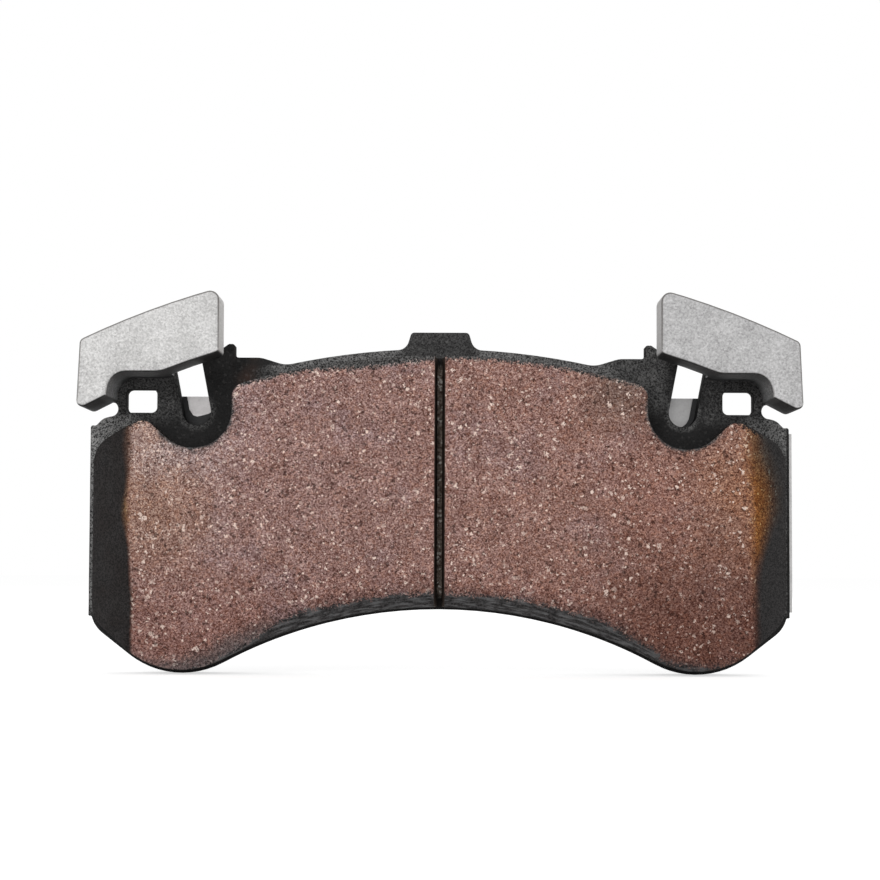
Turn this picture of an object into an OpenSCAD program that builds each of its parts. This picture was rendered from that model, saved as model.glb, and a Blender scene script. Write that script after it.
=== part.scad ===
// Disc brake pad for a fixed caliper, with a damper weight on each ear of its backing plate.
// X runs along the pad, Z points away from the disc axis and -Y towards the disc.
// The origin is the thrust centre on the piston side, at the lining's mean radius.
// Radii are about the disc axis. Sizes are in millimetres.

/* [Plate] */
// Length between the ends, without the abutment faces
plate_len = 190.8; // [170:0.2:215]
// Radius of the inner edge
plate_inner_r = 125.4; // [110:0.2:140]
// Radial height at the middle
plate_h = 71.6; // [64:0.2:80]
// Thickness
plate_t = 6; // [4:0.5:8]
// Radius of the lower lobes
lobe_r = 23.6; // [18:0.2:28]
// Angle of the lobes' centres from the middle
lobe_angle = 28.1; // [24:0.1:31]
// Slope of the flanks between the lobes and the ends
flank_angle = 38; // [30:1:45]
// Rounding where the flanks meet the ends
foot_round = 8.5; // [4:0.5:10]
// Radial rise of the shoulders above the outer edge
shoulder_rise = 2.7; // [1:0.1:4]
// Bulge of the shoulders between the notches and the abutments
shoulder_bulge = 0.45; // [0:0.05:1]
// Rounding of that bulge
shoulder_round = 4; // [0.5:0.1:6]

/* [Abutments] */
// Height of the abutment faces above the plate's ends
abutment_proud = 0.6; // [0.2:0.05:1.2]
// Height of their bottom above the flanks' corners
abutment_foot = 2.1; // [1.5:0.1:4]
// Height of their top above the shoulders' outer ends
abutment_rise = 0.15; // [0:0.05:0.6]
// Width of their top
abutment_top_w = 1.45; // [1:0.05:2]
// Rounding of their upper corners
abutment_round = 1.2; // [0.2:0.1:1.5]
// Rounding of their lower corners
abutment_low_round = 0.3; // [0.1:0.05:0.6]

/* [Centre tab] */
// Width at the top
tab_w = 15.8; // [8:0.2:30]
// Spread of each side towards the foot
tab_flare = 1.4; // [0:0.1:3]
// Height above the outer edge
tab_h = 4.5; // [2:0.1:9]
// Rounding of the upper corners
tab_round = 1.1; // [0.2:0.1:2]
// Fillet at the foot
tab_fillet = 3.2; // [0.5:0.1:4]

/* [Pin slots] */
// Width
slot_w = 7.7; // [6:0.1:9]
// Distance of the round end's centre from the end face
slot_inset = 28.55; // [25:0.05:32]
// Depth of the round end's centre below the outer edge
slot_drop = 5.8; // [4:0.1:8]
// Outward lean of the slot
slot_lean = 11; // [5:0.5:15]
// Length of the inner wall above the round end
slot_wall = 13; // [10:0.1:15]
// Rounding at the mouth
mouth_round = 0.8; // [0.2:0.1:1.5]

/* [Hooked arms] */
// Width of the arm beside the slot
arm_w = 6.4; // [5:0.1:9]
// Height of the hook above the slot's mouth
hook_rise = 5.15; // [4:0.05:7]
// Height of the hook above its land
hook_h = 3.75; // [2:0.05:5]
// Width of the hook's top
hook_top_w = 1.6; // [0.8:0.1:3]
// Rounding of the hook's corners
hook_round = 0.6; // [0.2:0.1:1]
// Fillet at the hook's foot
hook_fillet = 1.2; // [0.2:0.1:2]
// Length of the flat land beside the hook
land_len = 7.3; // [4:0.1:10]
// Length of the ramp from the outer edge up to the land
ramp_len = 6.7; // [4:0.1:10]
// Rounding at both ends of the ramp
ramp_round = 8; // [1:0.5:12]

/* [Necks and ears] */
// Distance of the notch's centre from the end face
notch_inset = 4.8; // [3.5:0.1:7]
// Radius of the notch
notch_r = 2.1; // [1.5:0.1:3]
// Width of the window
window_w = 8.6; // [5:0.1:11]
// Height of the window
window_h = 6.5; // [4:0.1:8]
// Rounding of the window's corners
window_round = 1.5; // [0.5:0.1:2]
// Web between the window and the notch
window_web = 2.1; // [1.2:0.1:4]
// Height of the window's middle above the notch's middle
window_rise = 2.25; // [1:0.05:4]
// Distance of the ear's edge inside the weight's edge
ear_margin = 2.5; // [1:0.1:4]
// Rounding of the ear's corners
ear_round = 2; // [0.5:0.1:4]

/* [Friction lining] */
// Height of the blocks above the underlayer
friction_h = 8.5; // [3:0.1:12]
// Thickness of the underlayer
underlayer_t = 2; // [1:0.1:3]
// Inset from the plate's outer edge
lining_top_inset = 2.8; // [1:0.1:6]
// Inset from the plate's inner edge, lobes and flanks
lining_low_inset = 0.8; // [0.2:0.1:3]
// Angle of the lining's lobes inside the plate's lobes
lining_lobe_lag = 0.4; // [0:0.1:1]
// Inset from the plate's end faces
lining_end_inset = 0.7; // [0.2:0.1:3]
// Rounding of the upper outer corners
lining_round = 9; // [3:0.5:12]
// Plate left bare between a pin slot and the lining
bay_land = 6.75; // [5:0.05:8]
// Slope of the bay's outer side
bay_slope = 42; // [35:1:50]
// Rounding of the bay's corners
bay_round = 4; // [1:0.1:5]
// Width of the centre groove at the face
groove_w = 2.9; // [2:0.1:6]
// Width of the centre groove at its floor
groove_floor_w = 1.3; // [0.6:0.1:2]
// Length of the end chamfer along the face
chamfer_len = 10.4; // [4:0.1:16]
// Height left under the chamfer at the block's end
chamfer_lip = 0.5; // [0.2:0.1:2]

/* [Keying holes] */
// Diameter
key_d = 11; // [6:0.5:14]
// Distance of the inner row from the plate's inner edge
key_inner_row = 20; // [17:0.5:24]
// Distance of the outer row from the plate's inner edge
key_outer_row = 47; // [42:0.5:52]
// Angle between neighbours in the inner row
key_inner_pitch = 14; // [11:0.5:15]
// Angle between neighbours in the outer row
key_outer_pitch = 10.4; // [8:0.2:12]

/* [Damper weights] */
// Length along the pad
weight_len = 37.95; // [34:0.05:42]
// Radial height
weight_h = 16.6; // [14:0.1:22]
// Depth towards the disc
weight_t = 20; // [15:0.5:26]
// Radial gap above the plate's outer edge
weight_gap = 5.8; // [5:0.1:8]
// Overhang past the plate's end face
weight_overhang = 1.55; // [0:0.05:3]
// Inward lean of the outer end, at its top
weight_lean = 0.85; // [0:0.05:2]
// Length of the toe outside the arch
toe_len = 8.25; // [5:0.05:9]
// Height of the arch above the toe's inner corner
arch_h = 6.2; // [4:0.1:8]
// Rounding of the arch's outer corner
arch_round = 5; // [1:0.1:5.5]
// Rounding of the arch's inner end
arch_blend = 8; // [1:0.5:10]
// Rounding of the upper inner corner
weight_top_round = 2.5; // [0.5:0.1:4]
// Rounding of the other outer corners
weight_round = 1.7; // [0.5:0.1:3]
// Clearance behind the weight over the slot and arm
weight_relief = 6.5; // [1:0.1:8]

/* [Weight rivets] */
// Diameter of the shank
rivet_d = 6; // [4:0.1:7]
// Diameter of the head
rivet_head_d = 8.6; // [7:0.1:9]
// Height of the head
rivet_head_h = 2.2; // [1:0.1:3]
// Distance between a weight's two rivets along the pad
rivet_pitch = 9.4; // [8.8:0.1:10]
// Distance of the rivets outside the weight's middle radius
rivet_offset = 1.2; // [0:0.1:1.6]
// Depth of the shank in the weight
rivet_grip = 12; // [6:0.5:14]
// Radial clearance of the shank in its holes
rivet_clear = 0.05; // [0.02:0.01:0.15]
// Clearance between the shank's end and the blind hole's floor
rivet_end_gap = 0.5; // [0.2:0.1:1]

/* [Shim] */
// Thickness of the adhesive film
film_t = 0.2; // [0.1:0.05:0.5]
// Thickness of the steel sheet
sheet_t = 0.7; // [0.4:0.05:1.2]
// Thickness of the rubber coat
rubber_t = 0.3; // [0.1:0.05:0.8]
// Inset of the sheet from the plate's inner edge, lobes and flanks
sheet_low_inset = 1.5; // [0.5:0.1:4]
// Inset of the sheet from the plate's outer edge
sheet_top_inset = 4.5; // [2:0.1:8]
// Inset of the rubber coat from the sheet's edges
rubber_inset = 1.5; // [0.5:0.1:4]
// Height of the sheet's edge above the centre of the slot's round end
tongue_rise = 4.5; // [3:0.1:6]
// Distance that the sheet reaches past each side of the slot
tongue_side = 3; // [1.5:0.1:4]
// Rounding of the sheet's corners
sheet_round = 1.2; // [0.3:0.1:2]
// Clearance between the end tab and the right abutment
end_tab_clear = 0.05; // [0.02:0.01:0.3]
// Distance of the end tab's top below the abutment's
end_tab_drop = 1.7; // [0.5:0.1:4]
// Distance of the end tab's bottom above the abutment's
end_tab_lift = 1.6; // [0.5:0.1:6]
// Distance of the end tab's tip behind the plate's front
end_tab_short = 0.3; // [0:0.1:2]
// Outer radius of the end tab's bend
end_tab_bend = 0.9; // [0.3:0.1:1.1]
// Shift of the film's cut-outs towards the middle of the pad
film_cut_shift = 1.35; // [0:0.05:2]
// Depth of the film's torn edge in the left slot, below the centre of the round end
film_tear = 1.1; // [0.5:0.1:2]
// Diameter of the pegs that locate the shim
peg_d = 7; // [4:0.5:10]
// Angle of the pegs from the middle
peg_angle = 11.5; // [9:0.5:13]
// Distance of the pegs from the plate's inner edge
peg_row = 34; // [31:0.5:37]
// Radial clearance round the pegs
peg_clear = 0.25; // [0.1:0.05:0.5]
// Depth of the pegs' ends below the rubber's face
peg_recess = 0.1; // [0.05:0.05:0.3]

/* [Hidden] */
$fn = 96;

LEFT = -1;
RIGHT = 1;
OUTER = 1;
INNER = -1;

// Straight pieces in a rounded corner, and in the short and long arcs of an outline
corner_steps = 7;
short_steps = 12;
long_steps = 24;
// How far a cutting shape runs past what it cuts
over = 1;

// Radii about the disc axis
plate_outer_r = plate_inner_r + plate_h;
lining_inner_r = plate_inner_r + lining_low_inset;
lining_outer_r = plate_outer_r - lining_top_inset;
shoulder_r = plate_outer_r + shoulder_rise;
weight_under_r = plate_outer_r + weight_gap;
weight_top_r = weight_under_r + weight_h;
ear_r = weight_top_r - ear_margin;
rivet_r = (weight_under_r + weight_top_r) / 2 + rivet_offset;
sheet_top_r = plate_outer_r - sheet_top_inset;
peg_r = plate_inner_r + peg_row;

// The origin lies at the mean radius of the lining
axis_drop = (lining_inner_r + lining_outer_r) / 2;
disc = [0, -axis_drop];

// Planes across the pad, from the piston side to the weights' front
rubber_back_y = 0;
sheet_back_y = rubber_back_y - rubber_t;
sheet_front_y = sheet_back_y - sheet_t;
plate_back_y = sheet_front_y - film_t;
plate_front_y = plate_back_y - plate_t;
underlayer_front_y = plate_front_y - underlayer_t;
face_y = underlayer_front_y - friction_h;
weight_front_y = plate_front_y - weight_t;
peg_end_y = rubber_back_y - peg_recess;

// Places along the pad, on the right side
end_x = plate_len / 2;
tab_x = tab_w / 2;
tab_foot_x = tab_x + tab_flare;
groove_x = groove_w / 2;
groove_floor_x = groove_floor_w / 2;
slot_r = slot_w / 2;
slot_c = [end_x - slot_inset, arc_height(plate_outer_r, end_x - slot_inset) - slot_drop];
slot_up = [sin(slot_lean), cos(slot_lean)];
slot_out = [cos(slot_lean), -sin(slot_lean)];
slot_inner_foot = slot_c - slot_r * slot_out;
slot_outer_foot = slot_c + slot_r * slot_out;
mouth = slot_inner_foot + slot_wall * slot_up;
hook_x = slot_c[0] - slot_r - arm_w;
hook_z = mouth[1] + hook_rise;
land_z = hook_z - hook_h;
land_x = hook_x - land_len;
ramp_x = land_x - ramp_len;
notch_x = end_x - notch_inset;
notch_z = arc_height(shoulder_r, notch_x) + notch_r;
window_x = notch_x - notch_r - window_web - window_w / 2;
window_z = notch_z + window_rise;
weight_out_x = end_x + weight_overhang;
weight_in_x = weight_out_x - weight_len;
weight_crown_x = weight_out_x - weight_lean;
ear_x = weight_out_x - ear_margin;
relief_x = slot_outer_foot[0] + slot_wall * slot_up[0];
rivet_mid_x = (relief_x + ear_x) / 2;
arch_x = weight_out_x - toe_len;
arch_z = arc_height(weight_under_r, arch_x) + arch_h;
arch_inner_x = sqrt(weight_under_r * weight_under_r - pow(arch_z + axis_drop, 2));
lining_end_x = end_x - lining_end_inset;
chamfer_x = lining_end_x - chamfer_len;
chamfer_h = friction_h - chamfer_lip;
flank_len = (end_x - lobe_centre(0)[0] - lobe_r * sin(flank_angle)) / cos(flank_angle);
foot_z = flank_z(0, 0, end_x);
foot_rise = tan((90 - flank_angle) / 2);
foot_r = min(foot_round, 0.95 * flank_len / foot_rise);
foot_c = [end_x - foot_r, foot_z + foot_r * foot_rise];
foot_stop = acos(min(0, abutment_foot / foot_r - foot_rise));
abutment_x = end_x + abutment_proud;
abutment_bottom_z = foot_z + abutment_foot;
shoulder_end = [abutment_x - abutment_top_w, arc_height(shoulder_r, end_x)];
abutment_top_z = shoulder_end[1] + abutment_rise;
brow_x = (notch_x + shoulder_end[0]) / 2;
end_tab_top_z = abutment_top_z - end_tab_drop;
end_tab_bottom_z = abutment_bottom_z + end_tab_lift;
end_tab_in_x = abutment_x + end_tab_clear;
end_tab_out_x = end_tab_in_x + sheet_t;
tongue_z = slot_c[1] + tongue_rise;
tongue_in_x = slot_c[0] - slot_r - tongue_side;
tongue_out_x = slot_c[0] + slot_r + tongue_side;
key_places = concat(
    [for (i = [-1.5:1.5]) polar(plate_inner_r + key_inner_row, i * key_inner_pitch)],
    [for (i = [-1.5:1.5]) polar(plate_inner_r + key_outer_row, i * key_outer_pitch)]
);
peg_places = [polar(peg_r, -peg_angle), polar(peg_r, peg_angle)];

// Point at a radius and an angle from upright, about the disc axis
function polar(r, angle) = [r * sin(angle), r * cos(angle) - axis_drop];

// Height of a radius about the disc axis at a place along the pad
function arc_height(r, x) = sqrt(r * r - x * x) - axis_drop;

// Centre of the lower lobe of an outline whose lobes lag behind the plate's by an angle
function lobe_centre(lag) = polar(plate_inner_r + lobe_r, lobe_angle - lag);

// Height at a place along the pad of the flank beside such a lobe, moved inwards by an inset
function flank_z(inset, lag, x) =
    let (
        r = lobe_r - inset,
        centre = lobe_centre(lag)
    )
    centre[1] - r * cos(flank_angle) + (x - centre[0] - r * sin(flank_angle)) * tan(flank_angle);

// Where a ray from a point meets a radius about the disc axis
function reach(from, way, r) =
    let (
        v = from - disc,
        along = v * way
    )
    from + way * (sqrt(along * along - v * v + r * r) - along);

// Points on an arc, with angles clockwise from upright, leaving out some at its two ends
function arc(centre, r, from, to, steps, skip_first = 0, skip_last = 0) = [
    for (i = [skip_first:steps - skip_last])
    let (angle = from + (to - from) * i / steps)
    [centre[0] + r * sin(angle), centre[1] + r * cos(angle), 0]
];

// The same between two places along the pad, about the disc axis
function rim(r, from_x, to_x, steps, skip_first = 0, skip_last = 0) =
    arc(disc, r, asin(from_x / r), asin(to_x / r), steps, skip_first, skip_last);

// A corner of an outline with its rounding, limited by the sides beside it
function corner(point, round) = [point[0], point[1], round];

function unit(v) = v / norm(v);

function turned(v, angle) = [
    v[0] * cos(angle) - v[1] * sin(angle),
    v[0] * sin(angle) + v[1] * cos(angle)
];

function flat(p) = [p[0], p[1]];

function rounded_corner(before, at, after, round) =
    let (
        u = unit(before - at),
        v = unit(after - at),
        half = acos(u * v) / 2,
        reach_limit = min(norm(before - at), norm(after - at)) * 0.49,
        tangent = min(round / tan(half), reach_limit),
        centre = at + unit(u + v) * tangent / cos(half),
        start = at + u * tangent - centre,
        sweep = (180 - 2 * half) * sign(v[0] * u[1] - v[1] * u[0])
    )
    [for (i = [0:corner_steps]) centre + turned(start, sweep * i / corner_steps)];

// Outline of a path whose points are each [x, z, rounding]
function rounded(path) = [
    for (i = [0:len(path) - 1])
    let (
        at = path[i],
        before = path[(i + len(path) - 1) % len(path)],
        after = path[(i + 1) % len(path)]
    )
    each at[2] > 0 ? rounded_corner(flat(before), flat(at), flat(after), at[2]) : [flat(at)]
];

function mirrored(path) = [for (i = [len(path) - 1:-1:0]) [-path[i][0], path[i][1], path[i][2]]];

// Lower edge of an outline's right half, from a place near the middle to the start of the flank
function lower_edge(inset, lag, from_x) =
    let (
        r = plate_inner_r + inset,
        to = lobe_angle - lag
    )
    concat(
        arc(disc, r, asin(from_x / r), to, short_steps),
        arc(lobe_centre(lag), lobe_r - inset, 180 + to, 180 - flank_angle, short_steps, skip_first = 1)
    );

// Right side of the plate, from the end of its lower edge up and in to the centre tab
plate_side = concat(
    arc(foot_c, foot_r, 180 - flank_angle, foot_stop, corner_steps),
    [
        corner([abutment_x, abutment_bottom_z], abutment_low_round),
        corner([abutment_x, abutment_top_z], abutment_round),
        corner(shoulder_end, 0),
        corner([brow_x, arc_height(shoulder_r + shoulder_bulge, brow_x)], shoulder_round)
    ],
    arc([notch_x, notch_z], notch_r, 180, 360, short_steps),
    [
        corner([ear_x, notch_z + notch_r], ear_round),
        corner([ear_x, arc_height(ear_r, ear_x)], ear_round)
    ],
    rim(ear_r, ear_x, slot_outer_foot[0], 5, skip_first = 1, skip_last = 2),
    [corner(reach(slot_outer_foot, slot_up, ear_r), ear_round)],
    arc(slot_c, slot_r, 90 + slot_lean, 270 + slot_lean, long_steps),
    [
        corner(mouth, mouth_round),
        corner([hook_x + hook_top_w, hook_z], hook_round),
        corner([hook_x, hook_z], hook_round),
        corner([hook_x, land_z], hook_fillet),
        corner([land_x, land_z], ramp_round),
        corner([ramp_x, arc_height(plate_outer_r, ramp_x)], ramp_round)
    ],
    rim(plate_outer_r, ramp_x, tab_foot_x, 6, skip_first = 1, skip_last = 1),
    [
        corner([tab_foot_x, arc_height(plate_outer_r, tab_foot_x)], tab_fillet),
        corner([tab_x, plate_outer_r - axis_drop + tab_h], tab_round)
    ]
);

plate_path = concat(
    arc(disc, plate_inner_r, -lobe_angle / 2, lobe_angle / 2, short_steps, skip_first = 1, skip_last = 1),
    lower_edge(0, 0, plate_inner_r * sin(lobe_angle / 2)),
    plate_side,
    mirrored(plate_side),
    mirrored(lower_edge(0, 0, plate_inner_r * sin(lobe_angle / 2)))
);

// Right half of a layer that covers the plate's body, with a bay round the pin slot
function layer_half(gap, low_inset, side_x, top_r, bay_r) = concat(
    lower_edge(low_inset, lining_lobe_lag, gap),
    [
        corner([side_x, flank_z(low_inset, lining_lobe_lag, side_x)], foot_round),
        corner([side_x, arc_height(top_r, side_x)], lining_round)
    ],
    rim(top_r, side_x, slot_c[0] + bay_r, 2, skip_first = 1, skip_last = 1),
    [
        corner(reach(slot_c + bay_r * [sin(bay_slope), -cos(bay_slope)],
            [cos(bay_slope), sin(bay_slope)], top_r), bay_round)
    ],
    arc(slot_c, bay_r, 180 - bay_slope, 270, short_steps),
    [corner([slot_c[0] - bay_r, arc_height(top_r, slot_c[0] - bay_r)], bay_round)],
    rim(top_r, slot_c[0] - bay_r, gap, 6, skip_first = 1)
);

// Right half of a layer of the shim that has a tongue behind the pin slot
function tongued_half(side_x) = concat(
    lower_edge(sheet_low_inset, 0, 0),
    [
        corner([side_x, flank_z(sheet_low_inset, 0, side_x)], 0),
        corner([side_x, end_tab_top_z], 0),
        corner([tongue_out_x, end_tab_top_z], sheet_round),
        corner([tongue_out_x, tongue_z], sheet_round),
        corner([tongue_in_x, tongue_z], sheet_round),
        corner([tongue_in_x, arc_height(sheet_top_r, tongue_in_x)], sheet_round)
    ],
    rim(sheet_top_r, tongue_in_x, 0, 6, skip_first = 1)
);

weight_path = concat(
    [corner([weight_in_x, arc_height(weight_under_r, weight_in_x)], weight_round)],
    rim(weight_under_r, weight_in_x, arch_inner_x, 2, skip_first = 1, skip_last = 1),
    [corner([arch_inner_x, arch_z], arch_blend)],
    arc([arch_x - arch_round, arch_z - arch_round], arch_round, 0, 90, corner_steps),
    [
        corner([arch_x, arc_height(weight_under_r, arch_x)], mouth_round),
        corner([weight_out_x, arc_height(weight_under_r, weight_out_x)], weight_round),
        corner([weight_crown_x, arc_height(weight_top_r, weight_crown_x)], weight_round)
    ],
    rim(weight_top_r, weight_crown_x, weight_in_x, 6, skip_first = 1, skip_last = 1),
    [corner([weight_in_x, arc_height(weight_top_r, weight_in_x)], weight_top_round)]
);

window_path = [
    for (way = [[1, -1], [1, 1], [-1, 1], [-1, -1]])
    corner([window_x + way[0] * window_w / 2, window_z + way[1] * window_h / 2], window_round)
];

// Section of the end tab and its bend, seen from above
end_tab_path = [
    [end_x - over, sheet_front_y, 0],
    [end_tab_in_x, sheet_front_y, 0],
    [end_tab_in_x, plate_front_y + end_tab_short, 0],
    [end_tab_out_x, plate_front_y + end_tab_short, 0],
    [end_tab_out_x, sheet_back_y, end_tab_bend],
    [end_x - over, sheet_back_y, 0]
];

module on_side(side) {
    mirror([side == LEFT ? 1 : 0, 0, 0]) children();
}

module both_sides() {
    for (side = [LEFT, RIGHT]) on_side(side) children();
}

// A flat outline made solid between two planes across the pad
module slab(front_y, back_y) {
    translate([0, back_y, 0]) rotate([90, 0, 0]) linear_extrude(back_y - front_y) children();
}

// A round bar across the pad
module bar(place, d, front_y, back_y) {
    translate([place[0], back_y, place[1]]) rotate([90, 0, 0]) cylinder(d = d, h = back_y - front_y);
}

module backing_plate() {
    color("#232425") {
        difference() {
            slab(plate_front_y, plate_back_y) polygon(rounded(plate_path));
            both_sides() slab(plate_front_y - over, plate_back_y + over) polygon(rounded(window_path));
            for (place = key_places) bar(place, key_d, plate_front_y - over, plate_back_y + over);
            both_sides() for (row = [OUTER, INNER])
                bar(rivet_place(row), rivet_d + 2 * rivet_clear, plate_front_y - over, plate_back_y + over);
        }
        for (place = peg_places) bar(place, peg_d, plate_back_y, peg_end_y);
    }
}

module underlayer() {
    color("#3a3533") {
        both_sides() slab(underlayer_front_y, plate_front_y)
            polygon(rounded(layer_half(0, lining_low_inset, lining_end_x, lining_outer_r, slot_r + bay_land)));
        for (place = key_places) bar(place, key_d, plate_front_y, plate_back_y);
    }
}

module friction_block(side) {
    slope = chamfer_len / chamfer_h;
    draft = (groove_x - groove_floor_x) / friction_h;
    color("#86645a") on_side(side) difference() {
        slab(face_y, underlayer_front_y) polygon(rounded(
            layer_half(0, lining_low_inset, lining_end_x, lining_outer_r, slot_r + bay_land)));
        translate([0, 0, -axis_drop]) linear_extrude(2 * axis_drop) {
            polygon([
                [chamfer_x - over * slope, face_y - over],
                [lining_end_x + over, face_y - over],
                [lining_end_x + over, face_y + chamfer_h + over / slope]
            ]);
            polygon([
                [-over, face_y - over],
                [groove_x + over * draft, face_y - over],
                [groove_floor_x - over * draft, underlayer_front_y + over],
                [-over, underlayer_front_y + over]
            ]);
        }
    }
}

module damper_weight(side) {
    color("#bdbdbb") on_side(side) difference() {
        slab(weight_front_y, plate_front_y) polygon(rounded(weight_path));
        translate([weight_in_x - over, plate_front_y - weight_relief, 0])
            cube([relief_x - weight_in_x + over, weight_relief + over, weight_top_r - axis_drop]);
        for (row = [OUTER, INNER])
            bar(rivet_place(row), rivet_d + 2 * rivet_clear,
                plate_front_y - rivet_grip - rivet_end_gap, plate_front_y + over);
    }
}

function rivet_place(row) =
    let (x = rivet_mid_x + row * rivet_pitch / 2)
    [x, arc_height(rivet_r, x)];

module weight_rivet(side, row) {
    head_r = rivet_head_d / 2;
    crown_r = head_r - rivet_head_h / 2;
    place = rivet_place(row);
    color("#8d8d8c") on_side(side) {
        bar(place, rivet_d, plate_front_y - rivet_grip, plate_back_y);
        translate([place[0], plate_back_y, place[1]]) rotate([-90, 0, 0]) rotate_extrude()
            polygon([[0, 0], [head_r, 0], [head_r, rivet_head_h / 2], [crown_r, rivet_head_h], [0, rivet_head_h]]);
    }
}

// The film's cut-out round the right pin slot, and round the left one once it is mirrored
module film_cut() {
    translate([slot_c[0] - film_cut_shift, slot_c[1]]) {
        circle(slot_r);
        rotate(-slot_lean) translate([-slot_r, 0]) square([slot_w, slot_wall]);
    }
}

// Room above the film's torn edge
module above_tear() {
    translate(slot_c) polygon([
        [-slot_w, slot_wall],
        [-slot_w, 0.2 * film_tear],
        [-0.88 * slot_r, 0.2 * film_tear],
        [-0.68 * slot_r, -0.25 * film_tear],
        [-0.16 * slot_r, -0.75 * film_tear],
        [0.14 * slot_r, -film_tear],
        [0.45 * slot_r, -0.6 * film_tear],
        [0.66 * slot_r, 0.55 * film_tear],
        [slot_w, 0.6 * film_tear],
        [slot_w, slot_wall]
    ]);
}

module peg_holes(front_y, back_y) {
    for (place = peg_places) bar(place, peg_d + 2 * peg_clear, front_y - over, back_y + over);
}

module shim_adhesive_film() {
    color("#161616") difference() {
        both_sides() slab(plate_back_y, sheet_front_y)
            polygon(rounded(tongued_half(end_x - sheet_low_inset)));
        slab(plate_back_y - over, sheet_front_y + over) {
            on_side(RIGHT) film_cut();
            on_side(LEFT) intersection() {
                film_cut();
                above_tear();
            }
        }
        peg_holes(plate_back_y, sheet_front_y);
    }
}

module shim_steel_sheet() {
    color("#b4b5b6") difference() {
        union() {
            both_sides() slab(sheet_front_y, sheet_back_y) polygon(rounded(tongued_half(end_x)));
            translate([0, 0, end_tab_bottom_z]) linear_extrude(end_tab_top_z - end_tab_bottom_z)
                polygon(rounded(end_tab_path));
        }
        peg_holes(sheet_front_y, sheet_back_y);
    }
}

module shim_rubber_coat() {
    color("#1b1b1c") difference() {
        both_sides() slab(sheet_back_y, rubber_back_y)
            polygon(rounded(layer_half(0, sheet_low_inset + rubber_inset, end_x - rubber_inset,
                sheet_top_r - rubber_inset, slot_r + bay_land + rubber_inset)));
        peg_holes(sheet_back_y, rubber_back_y);
    }
}

backing_plate();
underlayer();
friction_block(LEFT);  // friction_block_left
friction_block(RIGHT);  // friction_block_right
damper_weight(LEFT);  // damper_weight_left
damper_weight(RIGHT);  // damper_weight_right
weight_rivet(LEFT, OUTER);  // weight_rivet_left_outer
weight_rivet(LEFT, INNER);  // weight_rivet_left_inner
weight_rivet(RIGHT, OUTER);  // weight_rivet_right_outer
weight_rivet(RIGHT, INNER);  // weight_rivet_right_inner
shim_adhesive_film();
shim_steel_sheet();
shim_rubber_coat();
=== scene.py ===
"""Dresses a packed disc brake pad: broken edges, friction compound, coated plate, weights and shim."""

import logging
import math
from dataclasses import dataclass
from enum import Enum
from functools import reduce
from typing import Optional, Union

import bmesh
import bpy
from mathutils import Euler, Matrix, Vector


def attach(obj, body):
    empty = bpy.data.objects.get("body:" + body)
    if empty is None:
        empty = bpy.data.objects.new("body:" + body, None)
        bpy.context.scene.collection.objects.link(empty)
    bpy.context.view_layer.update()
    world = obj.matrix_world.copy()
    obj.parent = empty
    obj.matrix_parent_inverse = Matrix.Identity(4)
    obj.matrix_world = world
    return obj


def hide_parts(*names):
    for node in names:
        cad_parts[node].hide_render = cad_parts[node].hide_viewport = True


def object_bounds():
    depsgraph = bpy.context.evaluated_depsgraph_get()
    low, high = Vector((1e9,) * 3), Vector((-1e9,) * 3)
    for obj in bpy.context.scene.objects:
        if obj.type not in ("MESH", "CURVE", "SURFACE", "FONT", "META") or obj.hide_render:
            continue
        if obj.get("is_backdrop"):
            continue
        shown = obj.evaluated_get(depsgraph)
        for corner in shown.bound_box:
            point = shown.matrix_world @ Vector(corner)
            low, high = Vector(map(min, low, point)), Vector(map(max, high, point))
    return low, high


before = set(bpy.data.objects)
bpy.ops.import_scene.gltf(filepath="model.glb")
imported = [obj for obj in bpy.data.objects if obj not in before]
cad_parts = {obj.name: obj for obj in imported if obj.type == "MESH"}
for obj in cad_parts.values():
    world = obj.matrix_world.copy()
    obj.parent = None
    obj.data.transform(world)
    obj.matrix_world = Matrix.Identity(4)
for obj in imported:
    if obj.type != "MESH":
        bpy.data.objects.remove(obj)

LOG = logging.getLogger("brake_pad")
BODY = "root"
MM = 0.001

Socket = bpy.types.NodeSocket
Outputs = bpy.types.NodeOutputs
Value = Union[float, Socket]
Colour = tuple[float, float, float, float]
Tint = Union[Colour, Socket]

WHITE: Colour = (1.0, 1.0, 1.0, 1.0)


def srgb(red: float, green: float, blue: float) -> Colour:
    """Turns a colour as a screen shows it into the linear colour that shaders use.

    Args:
        red: Red from 0 to 255.
        green: Green from 0 to 255.
        blue: Blue from 0 to 255.

    Returns:
        The linear colour with full alpha.
    """
    def linear(level: float) -> float:
        """Undoes the screen's curve for one channel."""
        share = level / 255
        return share / 12.92 if share <= 0.04045 else ((share + 0.055) / 1.055) ** 2.4

    return (linear(red), linear(green), linear(blue), 1.0)


class Side(Enum):
    """The two ends of the pad, as seen from the disc."""

    LEFT = "left"
    RIGHT = "right"


class Row(Enum):
    """The two rivets of a weight."""

    OUTER = "outer"
    INNER = "inner"


@dataclass(frozen=True)
class PadSizes:
    """Sizes in millimetres that the finishes follow, as the solids have them."""

    axis_drop: float = 160.2
    lining_inner_r: float = 126.2
    lining_outer_r: float = 194.2
    lobe_x: float = 69.3
    lobe_z: float = -29.1
    lobe_r: float = 22.8
    lobe_angle: float = 27.7
    chamfer_x: float = 84.3
    slot_x: float = 66.85
    slot_z: float = 19.3
    slot_r: float = 3.85
    bay_r: float = 10.6


SIZES = PadSizes()


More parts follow.
